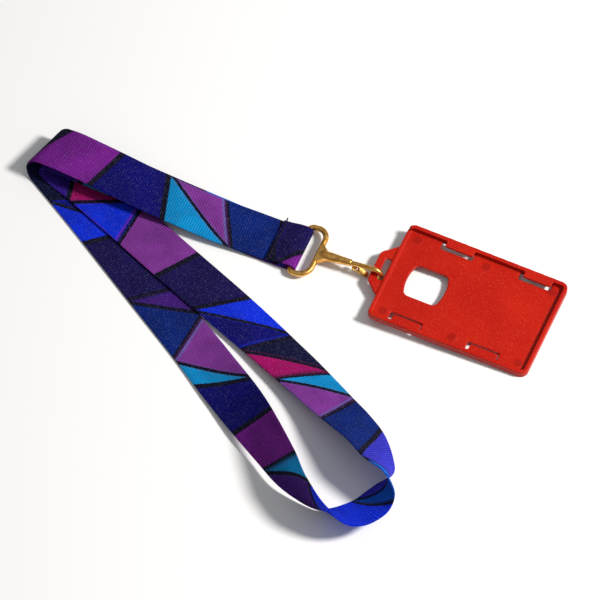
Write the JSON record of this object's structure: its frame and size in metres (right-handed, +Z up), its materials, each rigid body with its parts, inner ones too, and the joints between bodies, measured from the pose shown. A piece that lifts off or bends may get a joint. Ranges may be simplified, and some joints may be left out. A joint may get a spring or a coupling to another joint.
{
  "type": "lanyard badge holder",
  "caption": "Folded loop of printed webbing with a metal trigger snap hook, which carries a rigid open-face card holder by the slot in its tab.",
  "frame": {"origin": "centre of the object's footprint on the surface it lies on", "axes": "+X along the hook and the card holder, away from the strap, +Y across the card holder, +Z up"},
  "size_m": [0.2863, 0.185, 0.0268],
  "materials": {
    "webbing": "printed ribbed polyester",
    "thread": "matte sewing thread",
    "gold_casting": "polished gold plating",
    "gold_pin": "satin gold plating",
    "spring_wire": "drawn wire",
    "red_plastic": "fine moulded texture"
  },
  "bodies": {
    "strap": {"webbing_hem": "webbing", "webbing_eye_wrap": "webbing", "webbing_under_run": "webbing", "webbing_inner_fold": "webbing", "webbing_right_run": "webbing", "webbing_end_loop": "webbing", "webbing_left_run": "webbing", "webbing_outer_fold": "webbing", "webbing_top_run": "webbing", "seam_stitches": "thread"},
    "hook": {"hook_body": "gold_casting", "gate_rivet": "gold_pin"},
    "gate": {"gate": "gold_casting", "gate_spring": "spring_wire"},
    "holder": {"card_holder": "red_plastic"}
  },
  "joints": [
    {"name": "hook_swing", "type": "hinge", "parent": "strap", "child": "hook", "pos_m": [0.0064, 0.0588, 0.00295], "axis": [0, 1, 0], "range_deg": [-110, 110]},
    {"name": "gate_pivot", "type": "hinge", "parent": "hook", "child": "gate", "pos_m": [0.03742, 0.0588, 0.00522], "axis": [0, -1, 0], "range_deg": [0, 16], "stiffness_Nm_per_rad": 0.02, "springref_deg": -20.05},
    {"name": "holder_swing", "type": "hinge", "parent": "hook", "child": "holder", "pos_m": [0.04812, 0.0588, 0.00536], "axis": [0, 1, 0], "range_deg": [-80, 80]}
  ]
}
